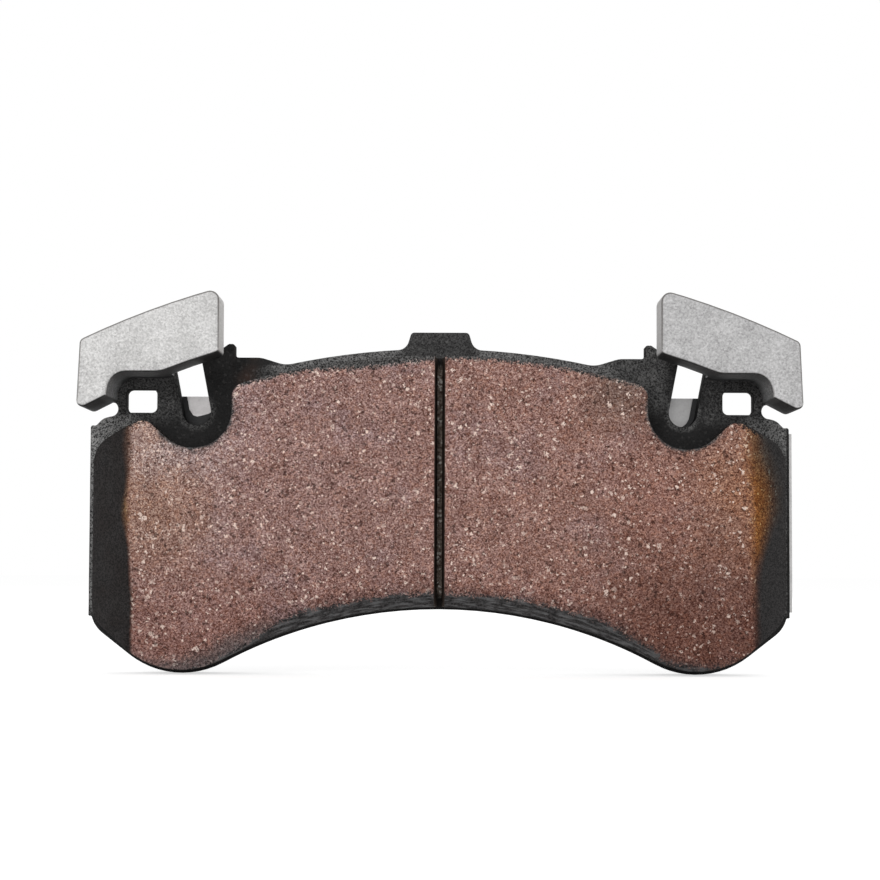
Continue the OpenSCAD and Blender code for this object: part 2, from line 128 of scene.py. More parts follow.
class Graph:
    """Lays shader nodes into one tree."""

    def __init__(self, tree: bpy.types.NodeTree) -> None:
        """Keeps the tree that the nodes go into.

        Args:
            tree: A material's or a group's node tree.
        """
        self.tree = tree

    def add(self, kind: str, **settings: object) -> bpy.types.Node:
        """Adds a node.

        Args:
            kind: The node's type name.
            settings: Properties to set on it.

        Returns:
            The new node.
        """
        node = self.tree.nodes.new(kind)
        for name, value in settings.items():
            setattr(node, name, value)
        return node

    def feed(self, socket: Socket, value: Union[Value, Tint, tuple]) -> None:
        """Links a socket to another, or sets its own value."""
        if isinstance(value, bpy.types.NodeSocket):
            self.tree.links.new(value, socket)
        else:
            socket.default_value = value

    def math(self, operation: str, *values: Value, clamp: bool = False) -> Socket:
        """Adds a sum or other operation on numbers.

        Args:
            operation: The operation's name.
            values: Numbers or sockets, in order.
            clamp: Whether the result stays between 0 and 1.

        Returns:
            The result's socket.
        """
        node = self.add("ShaderNodeMath", operation=operation, use_clamp=clamp)
        for socket, value in zip(node.inputs, values):
            self.feed(socket, value)
        return node.outputs[0]

    def scaled(self, value: Value, gain: Value, base: Value, clamp: bool = False) -> Socket:
        """Multiplies a value by a gain and adds a base."""
        return self.math("MULTIPLY_ADD", value, gain, base, clamp=clamp)

    def blend(self, share: float, first: Value, second: Value) -> Socket:
        """Adds a share of one value to the rest of another."""
        return self.scaled(first, share, self.math("MULTIPLY", second, 1.0 - share))

    def step(self, value: Value, low: Value, high: Value) -> Socket:
        """Rises smoothly from 0 to 1 as a value goes from low to high."""
        node = self.add("ShaderNodeMapRange", interpolation_type="SMOOTHSTEP")
        for name, given in (("Value", value), ("From Min", low), ("From Max", high)):
            self.feed(node.inputs[name], given)
        return node.outputs["Result"]

    def bell(self, value: Value, middle: float, reach: float) -> Socket:
        """Is 1 at a middle and falls smoothly to 0 at a reach on both sides."""
        away = self.math("ABSOLUTE", self.math("SUBTRACT", value, middle))
        return self.rest(self.step(away, 0.0, reach))

    def rest(self, mask: Value) -> Socket:
        """Covers what a mask leaves."""
        return self.math("SUBTRACT", 1.0, mask)

    def both(self, *masks: Value) -> Socket:
        """Multiplies masks together."""
        return reduce(lambda first, second: self.math("MULTIPLY", first, second), masks)

    def either(self, *masks: Value) -> Socket:
        """Takes the largest of some masks."""
        return reduce(lambda first, second: self.math("MAXIMUM", first, second), masks)

    def mix(self, share: Value, first: Tint, second: Tint, blend: str = "MIX") -> Socket:
        """Mixes two colours.

        Args:
            share: How much of the second colour shows.
            first: The first colour.
            second: The second colour.
            blend: How they are mixed.

        Returns:
            The mixed colour's socket.
        """
        node = self.add("ShaderNodeMix", data_type="RGBA", blend_type=blend, clamp_factor=True)
        self.feed(node.inputs[0], share)
        self.feed(node.inputs[6], first)
        self.feed(node.inputs[7], second)
        return node.outputs[2]

    def ramp(self, value: Value, stops: list[tuple[float, Colour]]) -> Socket:
        """Turns a value into a colour.

        Args:
            value: The value's socket.
            stops: Places from 0 to 1 with their colours.

        Returns:
            The colour's socket.
        """
        node = self.add("ShaderNodeValToRGB")
        elements = node.color_ramp.elements
        while len(elements) < len(stops):
            elements.new(0.5)
        for element, (place, colour) in zip(elements, stops):
            element.position = place
            element.color = colour
        self.feed(node.inputs[0], value)
        return node.outputs[0]

    def noise(self, place: Socket, scale: float, detail: float = 2.0, rough: float = 0.55) -> Socket:
        """Adds cloudy noise on a place in millimetres.

        Args:
            place: The place's socket.
            scale: Clouds in a millimetre.
            detail: How many finer layers are added.
            rough: How strong the finer layers are.

        Returns:
            The noise's socket, about 0.5 on average.
        """
        node = self.add("ShaderNodeTexNoise", noise_dimensions="3D")
        self.feed(node.inputs["Vector"], place)
        node.inputs["Scale"].default_value = scale
        node.inputs["Detail"].default_value = detail
        node.inputs["Roughness"].default_value = rough
        return node.outputs["Fac"]

    def stretched(self, place: Socket, scale: tuple[float, float, float]) -> Socket:
        """Scales a place along each axis, so that a pattern on it is drawn out where the scale is small.

        Args:
            place: The place's socket.
            scale: The scale along X, Y and Z.

        Returns:
            The scaled place's socket.
        """
        node = self.add("ShaderNodeMapping")
        self.feed(node.inputs["Vector"], place)
        node.inputs["Scale"].default_value = scale
        return node.outputs[0]

    def use(self, group: bpy.types.NodeTree, **values: Union[Value, Tint, tuple]) -> bpy.types.Node:
        """Places a shared effect.

        Args:
            group: The effect's node group.
            values: Its inputs by name.

        Returns:
            The group's node.
        """
        node = self.add("ShaderNodeGroup", node_tree=group)
        for name, value in values.items():
            self.feed(node.inputs[name], value)
        return node


class Mask:
    """A soft mask over a point's named values, such as its place on the pad in millimetres."""

    def over(self, graph: Graph, values: Outputs) -> Socket:
        """Lays the mask out.

        Args:
            graph: The graph that it goes into.
            values: The outputs that give the named values.

        Returns:
            The mask's socket, from 0 to 1.
        """
        raise NotImplementedError


@dataclass(frozen=True)
class Fade(Mask):
    """Rises from 0 to 1 as a value goes from low to high."""

    value: str
    low: float
    high: float

    def over(self, graph: Graph, values: Outputs) -> Socket:
        """Lays the mask out."""
        return graph.step(values[self.value], self.low, self.high)


@dataclass(frozen=True)
class Bell(Mask):
    """Is 1 where a value is at its middle and falls to 0 at a reach on both sides."""

    value: str
    middle: float
    reach: float

    def over(self, graph: Graph, values: Outputs) -> Socket:
        """Lays the mask out."""
        return graph.bell(values[self.value], self.middle, self.reach)


@dataclass(frozen=True)
class Zone(Mask):
    """Covers what all of its parts cover."""

    parts: tuple[Mask, ...]

    def over(self, graph: Graph, values: Outputs) -> Socket:
        """Lays the mask out."""
        return graph.both(*(part.over(graph, values) for part in self.parts))


class Effects:
    """Shader groups that more than one finish uses."""

    def __init__(self) -> None:
        """Builds each group once."""
        self.place = self._place()
        self.grit = self._grit()
        self.grain = self._grain()
        self.turn = self._turn()

    @staticmethod
    def _group(name: str, inputs: list[tuple[str, str]], outputs: list[tuple[str, str]]) -> Graph:
        """Starts a group with named sockets.

        Args:
            name: The group's name.
            inputs: Names and socket types that go in.
            outputs: Names and socket types that come out.

        Returns:
            A graph on the new group.
        """
        tree = bpy.data.node_groups.new(name, "ShaderNodeTree")
        for way, sockets in (("INPUT", inputs), ("OUTPUT", outputs)):
            for label, kind in sockets:
                tree.interface.new_socket(label, in_out=way, socket_type=kind)
        return Graph(tree)

    def _place(self) -> bpy.types.NodeTree:
        """Makes the group that gives a point's place on the pad in millimetres."""
        graph = self._group(
            "pad_place", [],
            [("Point", "NodeSocketVector"), ("Along", "NodeSocketFloat"), ("Height", "NodeSocketFloat"),
             ("Aside", "NodeSocketFloat"), ("Radius", "NodeSocketFloat"), ("From Slot", "NodeSocketFloat"),
             ("Above Lower Edge", "NodeSocketFloat")])
        out = graph.add("NodeGroupOutput")
        coords = graph.add("ShaderNodeTexCoord")
        point = graph.add("ShaderNodeVectorMath", operation="SCALE")
        graph.feed(point.inputs[0], coords.outputs["Object"])
        point.inputs["Scale"].default_value = 1 / MM
        split = graph.add("ShaderNodeSeparateXYZ")
        graph.feed(split.inputs[0], point.outputs[0])
        along, _, height = split.outputs
        aside = graph.math("ABSOLUTE", along)
        from_axis = graph.math("ADD", height, SIZES.axis_drop)
        radius = self._length(graph, along, from_axis)
        from_slot = self._length(graph, graph.math("SUBTRACT", aside, SIZES.slot_x),
                                 graph.math("SUBTRACT", height, SIZES.slot_z))
        lobe_x = graph.math("SUBTRACT", aside, SIZES.lobe_x)
        lobe_z = graph.math("SUBTRACT", height, SIZES.lobe_z)
        in_lobe = graph.math("SUBTRACT", SIZES.lobe_r, self._length(graph, lobe_x, lobe_z))
        above_lobe = graph.either(in_lobe, graph.math("MULTIPLY", lobe_z, 3.0))
        above_arc = graph.math("SUBTRACT", radius, SIZES.lining_inner_r)
        slope = math.tan(math.radians(SIZES.lobe_angle))
        past_arc = graph.math("GREATER_THAN", graph.math("DIVIDE", aside, from_axis), slope)
        gap = graph.math("SUBTRACT", above_lobe, above_arc)
        above = graph.scaled(gap, past_arc, above_arc)
        for name, value in (("Point", point.outputs[0]), ("Along", along), ("Height", height),
                            ("Aside", aside), ("Radius", radius), ("From Slot", from_slot),
                            ("Above Lower Edge", above)):
            graph.feed(out.inputs[name], value)
        return graph.tree

    @staticmethod
    def _length(graph: Graph, first: Value, second: Value) -> Socket:
        """Gives the length of two sides at right angles."""
        return graph.math("SQRT", graph.scaled(first, first, graph.math("MULTIPLY", second, second)))

    def _grit(self) -> bpy.types.NodeTree:
        """Makes the group that packs ragged grains side by side, each with a tone of its own."""
        graph = self._group(
            "grit",
            [("Point", "NodeSocketVector"), ("Scale", "NodeSocketFloat"), ("Ragged", "NodeSocketFloat")],
            [("Tone", "NodeSocketFloat")])
        given = graph.add("NodeGroupInput")
        out = graph.add("NodeGroupOutput")
        scaled = graph.add("ShaderNodeVectorMath", operation="SCALE")
        graph.feed(scaled.inputs[0], given.outputs["Point"])
        graph.feed(scaled.inputs["Scale"], given.outputs["Scale"])
        warp = graph.add("ShaderNodeTexNoise", noise_dimensions="3D")
        graph.feed(warp.inputs["Vector"], scaled.outputs[0])
        warp.inputs["Scale"].default_value = 1.7
        warp.inputs["Detail"].default_value = 1.0
        pull = graph.add("ShaderNodeVectorMath", operation="SCALE")
        graph.feed(pull.inputs[0], warp.outputs["Color"])
        graph.feed(pull.inputs["Scale"], given.outputs["Ragged"])
        moved = graph.add("ShaderNodeVectorMath", operation="ADD")
        graph.feed(moved.inputs[0], scaled.outputs[0])
        graph.feed(moved.inputs[1], pull.outputs[0])
        grains = graph.add("ShaderNodeTexVoronoi", feature="F1")
        graph.feed(grains.inputs["Vector"], moved.outputs[0])
        grains.inputs["Scale"].default_value = 1.0
        split = graph.add("ShaderNodeSeparateColor")
        graph.feed(split.inputs[0], grains.outputs["Color"])
        graph.feed(out.inputs["Tone"], split.outputs[0])
        return graph.tree

    def _grain(self) -> bpy.types.NodeTree:
        """Makes the group that lays fine grain over broad clouds."""
        graph = self._group(
            "grain",
            [("Point", "NodeSocketVector"), ("Fine", "NodeSocketFloat"), ("Broad", "NodeSocketFloat"),
             ("Contrast", "NodeSocketFloat")],
            [("Fine Tone", "NodeSocketFloat"), ("Broad Tone", "NodeSocketFloat")])
        given = graph.add("NodeGroupInput")
        out = graph.add("NodeGroupOutput")
        for scale, name, rough in (("Fine", "Fine Tone", 0.62), ("Broad", "Broad Tone", 0.5)):
            noise = graph.add("ShaderNodeTexNoise", noise_dimensions="3D")
            graph.feed(noise.inputs["Vector"], given.outputs["Point"])
            graph.feed(noise.inputs["Scale"], given.outputs[scale])
            noise.inputs["Detail"].default_value = 2.0
            noise.inputs["Roughness"].default_value = rough
            centred = graph.math("SUBTRACT", noise.outputs["Fac"], 0.5)
            graph.feed(out.inputs[name], graph.scaled(centred, given.outputs["Contrast"], 0.5, clamp=True))
        return graph.tree

    def _turn(self) -> bpy.types.NodeTree:
        """Makes the group that says which way a surface is turned."""
        graph = self._group("turn", [], [("To Disc", "NodeSocketFloat"), ("To Axis", "NodeSocketFloat")])
        out = graph.add("NodeGroupOutput")
        coords = graph.add("ShaderNodeTexCoord")
        split = graph.add("ShaderNodeSeparateXYZ")
        graph.feed(split.inputs[0], coords.outputs["Normal"])
        graph.feed(out.inputs["To Disc"], graph.math("MULTIPLY", split.outputs[1], -1.0))
        graph.feed(out.inputs["To Axis"], graph.math("MULTIPLY", split.outputs[2], -1.0))
        return graph.tree

    def grains(self, graph: Graph, point: Socket, scale: float, ragged: float) -> Socket:
        """Lays packed grains into a finish.

        Args:
            graph: The material's graph.
            point: A point's place in millimetres.
            scale: Grains in a millimetre.
            ragged: How far the grains' borders are pulled about.

        Returns:
            The grains' tones from 0 to 1.
        """
        return graph.use(self.grit, Point=point, Scale=scale, Ragged=ragged).outputs["Tone"]


class Finish:
    """A material made of procedural nodes."""

    name = "finish"

    def make(self, effects: Effects) -> bpy.types.Material:
        """Builds the material.

        Args:
            effects: The shared shader groups.

        Returns:
            The finished material.
        """
        material = bpy.data.materials.new(self.name)
        material.use_nodes = True
        shader = material.node_tree.nodes["Principled BSDF"]
        graph = Graph(material.node_tree)
        self.dress(graph, shader, effects, graph.use(effects.place).outputs)
        return material

    def dress(self, graph: Graph, shader: bpy.types.Node, effects: Effects, place: Outputs) -> None:
        """Lays out the nodes that feed the shader.

        Args:
            graph: The material's graph.
            shader: Its Principled BSDF.
            effects: The shared shader groups.
            place: The outputs that give a point's place on the pad.
        """
        raise NotImplementedError

    @staticmethod
    def relief(graph: Graph, shader: bpy.types.Node, height: Value, depth: float, strength: float) -> None:
        """Feeds a bump into the shader's normal.

        Args:
            graph: The material's graph.
            shader: Its Principled BSDF.
            height: The relief's height from 0 to 1.
            depth: The depth of that range in metres.
            strength: How much of it shows.
        """
        bump = graph.add("ShaderNodeBump")
        bump.inputs["Strength"].default_value = strength
        bump.inputs["Distance"].default_value = depth
        graph.feed(bump.inputs["Height"], height)
        graph.feed(shader.inputs["Normal"], bump.outputs["Normal"])


@dataclass(frozen=True)
class FrictionFinish(Finish):
    """Mauve-brown friction compound with pale flecks, dark grain, charred borders and scorched ends."""

    name: str = "friction_compound"
    dark: Colour = srgb(71, 43, 38)
    low: Colour = srgb(114, 81, 75)
    middle: Colour = srgb(150, 118, 112)
    high: Colour = srgb(180, 149, 142)
    pale: Colour = srgb(226, 198, 191)
    fleck: Colour = srgb(239, 216, 203)
    pit: Colour = srgb(52, 33, 30)
    soot_and_painted_shade: Colour = srgb(24, 23, 23)
    ash: Colour = srgb(58, 56, 56)
    dusty_ash: Colour = srgb(104, 103, 102)
    scuff: Colour = srgb(118, 118, 119)
    wall: Colour = srgb(20, 15, 13)
    groove_wall: Colour = srgb(56, 46, 40)
    tan: Colour = srgb(154, 110, 82)
    gold: Colour = srgb(131, 87, 47)
    umber: Colour = srgb(108, 74, 46)
    sepia: Colour = srgb(78, 60, 49)

    # Colours that multiply another
    stain: Colour = (0.55, 0.46, 0.43, 1.0)
    smoke: Colour = (0.52, 0.53, 0.55, 1.0)
    rust: Colour = (1.08, 0.98, 0.89, 1.0)
    lilac: Colour = (0.98, 1.05, 1.13, 1.0)
    ochre: Colour = (1.06, 1.0, 0.8, 1.0)
    browner: Colour = (0.98, 0.91, 0.85, 1.0)
    lower: Colour = (0.87, 0.77, 0.74, 1.0)
    corner: Colour = (0.63, 0.59, 0.57, 1.0)
    olive: Colour = (0.66, 0.76, 0.77, 1.0)
    chalky: Colour = (1.15, 1.25, 1.33, 1.0)
    warm: Colour = (0.94, 0.88, 0.86, 1.0)
    bleached: Colour = (1.13, 1.15, 1.03, 1.0)
    singe: Colour = (0.42, 0.33, 0.26, 1.0)
    grain_gain: Colour = (3.6, 6.4, 7.1, 1.0)
    cloud_shade: Colour = srgb(232, 228, 226)

    # Grains in a millimetre, how much a fleck shows, and the tone above which a grain is a fleck
    flecks: tuple[tuple[float, float, float], ...] = (
        (0.9, 0.9, 0.989), (1.3, 1.0, 0.976), (2.2, 1.0, 0.962))
    top_char: float = 0.9
    top_bulge: float = 1.7
    bay_char: float = 0.5
    low_char: float = 3.8
    low_wander: float = 2.4
    chamfer_skew: float = 0.016
    skew_height: float = 10.0
    left_shift: float = 0.7
    foot_shift: float = 0.9
    left_heat: float = 0.29
    left_burn: float = 3.2
    top_burn: float = 4.2
    left_blur: float = 2.2
    right_blur: float = 1.7
    scuffing: tuple[float, float, float] = (0.25, 1.5, 1.0)

    # Where the colour drifts, where the border is charred and where the ends are scorched
    left_half: Mask = Fade("Along", 1.0, -1.0)
    rightwards: Mask = Fade("Along", -40.0, 50.0)
    downwards: Mask = Fade("Height", -14.0, -46.0)
    low_right: Mask = Zone((Fade("Along", 26.0, 62.0), Fade("Height", -6.0, -36.0)))
    waist: Mask = Zone((Fade("Along", 36.0, 62.0), Bell("Height", -9.0, 26.0)))
    right_end: Mask = Zone((Fade("Along", 58.0, 84.0), Bell("Height", -4.0, 30.0)))
    left_end: Mask = Zone((Fade("Along", -50.0, -78.0), Fade("Height", -34.0, -8.0)))
    right_bay: Mask = Zone((Bell("Along", 49.0, 16.0), Fade("Height", 8.0, 25.0)))
    left_bay: Mask = Zone((Fade("Along", 1.0, -1.0), Fade("From Slot", 26.0, 12.0)))
    bulge: Mask = Bell("Along", -18.0, 24.0)
    off_ends: Mask = Fade("Aside", 86.0, 64.0)
    left_lobe: Mask = Fade("Along", -36.0, -56.0)
    right_lobe: Mask = Fade("Along", 38.0, 66.0)
    walls: Mask = Fade("To Disc", 0.6, 0.35)
    in_groove: Mask = Fade("Aside", 5.0, 3.0)
    right_hot: Mask = Zone((Fade("Along", 60.0, 72.0), Bell("Height", -2.0, 27.0)))
    left_hot: Mask = Zone((Fade("Along", -60.0, -72.0), Bell("Height", -8.0, 12.0)))
    upper: Mask = Fade("Height", -4.0, 9.0)
    foot: Mask = Fade("Height", -18.0, -34.0)
    low_fringe: Mask = Bell("Height", -24.0, 18.0)
    between_ends: Mask = Fade("Aside", 82.0, 76.0)
    at_outer_edge: Mask = Fade("Radius", 182.0, 190.0)

    def dress(self, graph: Graph, shader: bpy.types.Node, effects: Effects, place: Outputs) -> None:
        """Lays out the nodes that feed the shader."""
        point = place["Point"]
        grain = graph.use(effects.grain, Point=point, Fine=2.5, Broad=0.16, Contrast=2.2).outputs
        tone = graph.blend(0.5, effects.grains(graph, point, 3.2, 0.9), grain["Fine Tone"])
        colour = graph.ramp(tone, [
            (0.08, self.dark), (0.32, self.low), (0.5, self.middle), (0.7, self.high), (0.94, self.pale)])
        hue = effects.grains(graph, point, 1.5, 0.9)
        colour = graph.mix(graph.step(hue, 0.5, 1.0), colour, self.rust, "MULTIPLY")
        pits = graph.step(effects.grains(graph, point, 1.4, 1.1), 0.06, 0.04)
        colour = graph.mix(graph.both(pits, 0.65), colour, self.pit)
        colour = self._drift(graph, colour, place, grain["Broad Tone"])
        colour = self._flecked(graph, colour, place, tone, effects)
        colour, charred = self._char(graph, colour, place, tone, effects)
        graph.feed(shader.inputs["Base Color"], colour)
        graph.feed(shader.inputs["Roughness"], graph.scaled(charred, -0.2, 0.92))
        shader.inputs["Specular IOR Level"].default_value = 0.12
        relief = graph.math("SUBTRACT", tone, graph.both(pits, 0.5))
        self.relief(graph, shader, relief, 0.25 * MM, 0.3)

    def _drift(self, graph: Graph, colour: Socket, place: Outputs, broad: Socket) -> Socket:
        """Shifts the compound's colour slowly over the pad.

        Args:
            graph: The material's graph.
            colour: The compound's colour.
            place: The outputs that give a point's place on the pad.
            broad: Broad clouds from 0 to 1.

        Returns:
            The shifted colour.
        """
        clouds = graph.noise(place["Point"], scale=0.06, detail=3.0)
        colour = graph.mix(graph.step(clouds, 0.5, 0.66), colour, self.lilac, "MULTIPLY")
        for mask, factor in ((self.rightwards, self.browner), (self.downwards, self.lower),
                             (self.low_right, self.corner), (self.waist, self.warm),
                             (self.right_end, self.ochre), (self.left_end, self.bleached),
                             (self.right_bay, self.olive), (self.left_bay, self.chalky)):
            colour = graph.mix(mask.over(graph, place), colour, factor, "MULTIPLY")
        shade = graph.ramp(broad, [(0.2, self.cloud_shade), (0.8, WHITE)])
        return graph.mix(1.0, colour, shade, "MULTIPLY")

    def _flecked(self, graph: Graph, colour: Socket, place: Outputs, tone: Socket,
                 effects: Effects) -> Socket:
        """Strews pale flecks in loose clusters, fainter in the lower right corner.

        Args:
            graph: The material's graph.
            colour: The compound's colour.
            place: The outputs that give a point's place on the pad.
            tone: The grains' tone from 0 to 1.
            effects: The shared shader groups.

        Returns:
            The flecked colour.
        """
        point = place["Point"]
        broken = graph.step(tone, 0.16, 0.42)
        gathered = graph.both(graph.step(graph.noise(point, scale=0.22), 0.34, 0.58),
                              graph.scaled(self.low_right.over(graph, place), -0.38, 1.0))
        for scale, share, rare in self.flecks:
            bright = effects.grains(graph, point, scale, 1.1)
            shown = graph.both(graph.step(bright, rare, rare + 0.01), broken, gathered, share)
            colour = graph.mix(shown, colour, self.fleck)
        return colour

    def _char(self, graph: Graph, colour: Socket, place: Outputs, tone: Socket,
              effects: Effects) -> tuple[Socket, Socket]:
        """Chars the borders and end chamfers and scorches the compound beside them.

        Args:
            graph: The material's graph.
            colour: The compound's colour.
            place: The outputs that give a point's place on the pad.
            tone: The grains' tone from 0 to 1.
            effects: The shared shader groups.

        Returns:
            The colour and a mask of what is charred.
        """
        point = place["Point"]
        wander = graph.noise(point, scale=0.06, detail=1.0)
        torn = graph.noise(point, scale=0.5, detail=4.0, rough=0.75)
        ragged = graph.scaled(tone, 2.0, graph.both(torn, 4.0))
        below_top = graph.math("SUBTRACT", SIZES.lining_outer_r, place["Radius"])
        top_width = graph.scaled(self.bulge.over(graph, place), self.top_bulge, self.top_char)
        round_bay = graph.math("SUBTRACT", place["From Slot"], SIZES.bay_r)
        above_low = place["Above Lower Edge"]
        off_ends = self.off_ends.over(graph, place)
        left_lobe = self.left_lobe.over(graph, place)
        right_lobe = self.right_lobe.over(graph, place)
        thinned = graph.scaled(left_lobe, -0.72, graph.scaled(right_lobe, -0.4, 1.0))
        low_width = graph.both(off_ends, thinned,
                               graph.scaled(wander, self.low_wander, self.low_char - self.low_wander / 2))
        smoke_width = graph.scaled(off_ends, graph.scaled(left_lobe, 2.0, 1.6), low_width)
        smoked = graph.either(self._border(graph, above_low, smoke_width, ragged, 2.6),
                              graph.both(self._border(graph, round_bay, 1.2, ragged, 1.8), 0.6))
        colour = graph.mix(smoked, colour, self.smoke, "MULTIPLY")
        greyed = graph.mix(graph.step(tone, 0.1, 0.9), self.ash, self.scuff)
        dusted = graph.scaled(left_lobe, 0.5, graph.both(right_lobe, 0.2))
        colour = graph.mix(graph.both(smoked, dusted), colour, greyed)
        colour, ends = self._scorched(graph, colour, place, wander, ragged)
        calm = graph.scaled(ragged, 0.4, 1.8)
        charred = graph.either(ends, self._border(graph, below_top, top_width, ragged),
                               self._border(graph, round_bay, self.bay_char, calm),
                               self._border(graph, above_low, low_width, ragged))
        colour = graph.mix(charred, colour, self._soot(graph, place, tone, ends))
        walls = self.walls.over(graph, graph.use(effects.turn).outputs)
        wall = graph.mix(self.in_groove.over(graph, place), self.wall, self.groove_wall)
        return graph.mix(walls, colour, wall), graph.either(charred, walls)

    def _scorched(self, graph: Graph, colour: Socket, place: Outputs, wander: Socket,
                  ragged: Socket) -> tuple[Socket, Socket]:
        """Browns the compound beside the end chamfers.

        Args:
            graph: The material's graph.
            colour: The compound's colour.
            place: The outputs that give a point's place on the pad.
            wander: Broad noise from 0 to 1.
            ragged: Noise that tears the edges, in millimetres.

        Returns:
            The colour and a mask of the charred ends.
        """
        along = place["Along"]
        left = self.left_half.over(graph, place)
        right = graph.rest(left)
        upper = self.upper.over(graph, place)
        upper_right = graph.both(upper, right)
        hot = graph.scaled(self.left_hot.over(graph, place), self.left_heat,
                           self.right_hot.over(graph, place))
        heat = graph.math("MULTIPLY", hot, graph.scaled(wander, 0.8, 0.6), clamp=True)
        tilt = graph.scaled(place["Height"], self.chamfer_skew, -self.skew_height * self.chamfer_skew)
        shift = graph.scaled(self.foot.over(graph, place), self.foot_shift, self.left_shift)
        leaning = graph.either(graph.math("ADD", along, tilt), graph.math("SUBTRACT", shift, along))
        past = graph.math("SUBTRACT", leaning, SIZES.chamfer_x)
        burnt = graph.scaled(left, self.left_burn, graph.scaled(upper_right, self.top_burn, past))
        browned = graph.ramp(graph.scaled(burnt, 0.1, 0.2), [
            (0.12, self.tan), (0.3, self.gold), (0.55, self.umber), (0.82, self.sepia), (1.0, self.ash)])
        grained = graph.mix(1.0, colour, self.grain_gain, "MULTIPLY")
        browned = graph.mix(1.0, browned, grained, "MULTIPLY")
        reach = graph.scaled(ragged, 0.9, graph.math("ADD", past, -2.7))
        inner = graph.scaled(upper_right, -2.0, graph.scaled(left, 1.8, -2.0))
        toasted = graph.both(graph.step(heat, 0.0, 0.3), graph.step(reach, inner, 1.6), 0.9)
        colour = graph.mix(toasted, colour, browned)
        singed = graph.both(graph.step(past, -0.8, 1.2), graph.step(heat, 0.4, 0.0))
        colour = graph.mix(singed, colour, self.singe, "MULTIPLY")
        fringe = graph.both(right, graph.bell(past, -0.3, 1.6), self.low_fringe.over(graph, place), 0.35)
        colour = graph.mix(fringe, colour, browned)
        torn = graph.scaled(ragged, 0.3, graph.math("ADD", past, -0.9))
        blur = graph.scaled(graph.both(upper, left), self.left_blur, graph.both(right, self.right_blur))
        start = graph.scaled(blur, -0.35, graph.scaled(heat, 4.5, -0.5))
        finish = graph.math("ADD", blur, graph.scaled(heat, 8.0, 0.7))
        return colour, graph.step(torn, start, finish)

    def _soot(self, graph: Graph, place: Outputs, tone: Socket, ends: Socket) -> Socket:
        """Makes charcoal: dusty at the top, scuffed along the lower edge, stained on the left chamfer.

        Args:
            graph: The material's graph.
            place: The outputs that give a point's place on the pad.
            tone: The grains' tone from 0 to 1.
            ends: Where the end chamfers are charred.

        Returns:
            The charcoal's colour.
        """
        by_edge = graph.add("ShaderNodeCombineXYZ")
        graph.feed(by_edge.inputs[0], place["Along"])
        graph.feed(by_edge.inputs[1], place["Above Lower Edge"])
        drawn = graph.stretched(by_edge.outputs[0], self.scuffing)
        scuffs = graph.step(graph.noise(drawn, scale=1.0, detail=3.0, rough=0.6), 0.42, 0.68)
        inwards = self.between_ends.over(graph, place)
        at_top = graph.both(self.at_outer_edge.over(graph, place), inwards)
        at_foot = graph.math("SUBTRACT", inwards, at_top)
        dark = graph.mix(graph.step(tone, 0.2, 0.8), self.soot_and_painted_shade, graph.mix(at_top, self.ash, self.dusty_ash))
        dark = graph.mix(graph.both(scuffs, at_foot, 0.5), dark, self.scuff)
        blotches = graph.scaled(graph.noise(place["Point"], scale=0.16, detail=3.0), 1.6, -0.3, clamp=True)
        stained = graph.both(ends, self.left_half.over(graph, place), blotches)
        return graph.mix(stained, dark, self.stain, "MULTIPLY")

    @staticmethod
    def _border(graph: Graph, inside: Socket, width: Value, ragged: Socket, soft: float = 0.55) -> Socket:
        """Covers a ragged strip along an edge.

        Args:
            graph: The material's graph.
            inside: Distance from the edge in millimetres.
            width: The strip's width in millimetres.
            ragged: Noise that tears its inner edge, in millimetres.
            soft: How far to each side of the width the strip fades, in millimetres.

        Returns:
            The strip's mask.
        """
        torn = graph.math("ADD", ragged, graph.math("ADD", inside, -3.0))
        return graph.step(torn, graph.math("ADD", width, soft), graph.math("SUBTRACT", width, soft))


